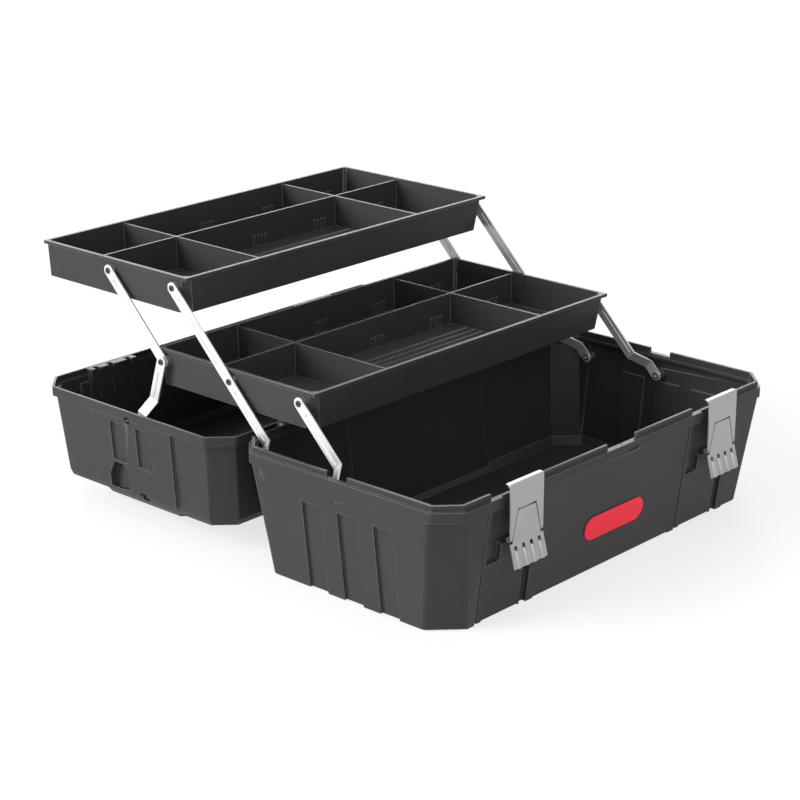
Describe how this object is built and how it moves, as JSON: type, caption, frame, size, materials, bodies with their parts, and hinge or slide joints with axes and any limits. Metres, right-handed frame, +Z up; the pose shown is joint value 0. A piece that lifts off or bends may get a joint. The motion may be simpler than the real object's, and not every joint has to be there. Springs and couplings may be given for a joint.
{
  "type": "cantilever tool box",
  "caption": "Moulded tool box that opens by cantilever: steel links swing the trays up over the turned-back lid; draw latches and a folding carry handle.",
  "frame": {"origin": "middle of the tub's base, on the floor", "axes": "X along the box, -Y towards the latches, +Y towards the hinge and the opened lid, +Z up; the box stands open"},
  "size_m": [0.43, 0.5048, 0.2254],
  "materials": {
    "moulded_plastic": "fine moulded texture",
    "tray_plastic": "smooth moulded",
    "handle_plastic": "fine moulded texture",
    "link_steel": "bright zinc plated",
    "latch_steel": "satin zinc plated",
    "pin_steel": "bright zinc plated",
    "badge_red": "gloss"
  },
  "bodies": {
    "tub": {"tub": "moulded_plastic", "tub_rivets": "pin_steel", "hinge_pins": "pin_steel", "lever_pins": "pin_steel", "front_badge": "badge_red"},
    "lid": {"lid": "moulded_plastic", "lid_rivets": "pin_steel"},
    "lid_links": {"lid_link_left": "link_steel", "lid_link_right": "link_steel"},
    "lower_tray": {"lower_tray": "tray_plastic", "lower_tray_rivets": "pin_steel"},
    "rear_links": {"rear_link_left": "link_steel", "rear_link_right": "link_steel", "rear_link_rivets": "pin_steel"},
    "front_links": {"front_link_left": "link_steel", "front_link_right": "link_steel", "front_link_rivets": "pin_steel"},
    "upper_links": {"upper_link_left": "link_steel", "upper_link_right": "link_steel"},
    "upper_tray": {"upper_tray": "tray_plastic", "upper_tray_rivets": "pin_steel"},
    "latch_lever_left": {"latch_lever_left": "latch_steel", "hook_pin_left": "pin_steel"},
    "latch_lever_right": {"latch_lever_right": "latch_steel", "hook_pin_right": "pin_steel"},
    "latch_hook_left": {"latch_hook_left": "latch_steel"},
    "latch_hook_right": {"latch_hook_right": "latch_steel"},
    "carry_handle": {"carry_handle": "handle_plastic"}
  },
  "joints": [
    {"name": "lid_hinge", "type": "hinge", "parent": "tub", "child": "lid", "pos_m": [0, 0.1235, 0.105], "axis": [1, 0, 0], "range_deg": [0, 180]},
    {"name": "lid_link_pivot", "type": "hinge", "parent": "lid", "child": "lid_links", "pos_m": [0, 0.2485, 0.06505], "axis": [1, 0, 0], "range_deg": [0, 55.1]},
    {"name": "lower_tray_pivot", "type": "hinge", "parent": "lid_links", "child": "lower_tray", "pos_m": [0, 0.22272, 0.14829], "axis": [1, 0, 0], "range_deg": [-235.1, 0]},
    {"name": "rear_link_pivot", "type": "hinge", "parent": "lower_tray", "child": "rear_links", "pos_m": [0, 0.14272, 0.14829], "axis": [1, 0, 0], "range_deg": [0, 113.2]},
    {"name": "front_link_pivot", "type": "hinge", "parent": "lower_tray", "child": "front_links", "pos_m": [0, 0.06272, 0.14829], "axis": [1, 0, 0], "range_deg": [0, 113.2]},
    {"name": "upper_link_pivot", "type": "hinge", "parent": "lower_tray", "child": "upper_links", "pos_m": [0, 0.22272, 0.14829], "axis": [1, 0, 0], "range_deg": [0, 113.2]},
    {"name": "upper_tray_pivot", "type": "hinge", "parent": "rear_links", "child": "upper_tray", "pos_m": [0, 0.20837, 0.21487], "axis": [1, 0, 0], "range_deg": [-113.2, 0]},
    {"name": "left_lever_pivot", "type": "hinge", "parent": "tub", "child": "latch_lever_left", "pos_m": [0, -0.1183, 0.091], "axis": [1, 0, 0], "range_deg": [-95, 6]},
    {"name": "left_hook_pivot", "type": "hinge", "parent": "latch_lever_left", "child": "latch_hook_left", "pos_m": [0, -0.1195, 0.07], "axis": [1, 0, 0], "range_deg": [-6, 95]},
    {"name": "right_lever_pivot", "type": "hinge", "parent": "tub", "child": "latch_lever_right", "pos_m": [0, -0.1183, 0.091], "axis": [1, 0, 0], "range_deg": [-95, 6]},
    {"name": "right_hook_pivot", "type": "hinge", "parent": "latch_lever_right", "child": "latch_hook_right", "pos_m": [0, -0.1195, 0.07], "axis": [1, 0, 0], "range_deg": [-6, 95]},
    {"name": "handle_pivot", "type": "hinge", "parent": "lid", "child": "carry_handle", "pos_m": [0, 0.2255, 0.0218], "axis": [1, 0, 0], "range_deg": [-90, 0]}
  ],
  "couplings": [
    {"joint": "lid_link_pivot", "follows": "lid_hinge", "ratio": 0.30585},
    {"joint": "lower_tray_pivot", "follows": "lid_hinge", "ratio": -1.3058},
    {"joint": "rear_link_pivot", "follows": "lid_hinge", "ratio": 0.62833},
    {"joint": "front_link_pivot", "follows": "lid_hinge", "ratio": 0.62833},
    {"joint": "upper_link_pivot", "follows": "lid_hinge", "ratio": 0.62833},
    {"joint": "upper_tray_pivot", "follows": "lid_hinge", "ratio": -0.62833},
    {"joint": "left_hook_pivot", "follows": "left_lever_pivot", "ratio": -1},
    {"joint": "right_hook_pivot", "follows": "right_lever_pivot", "ratio": -1}
  ]
}
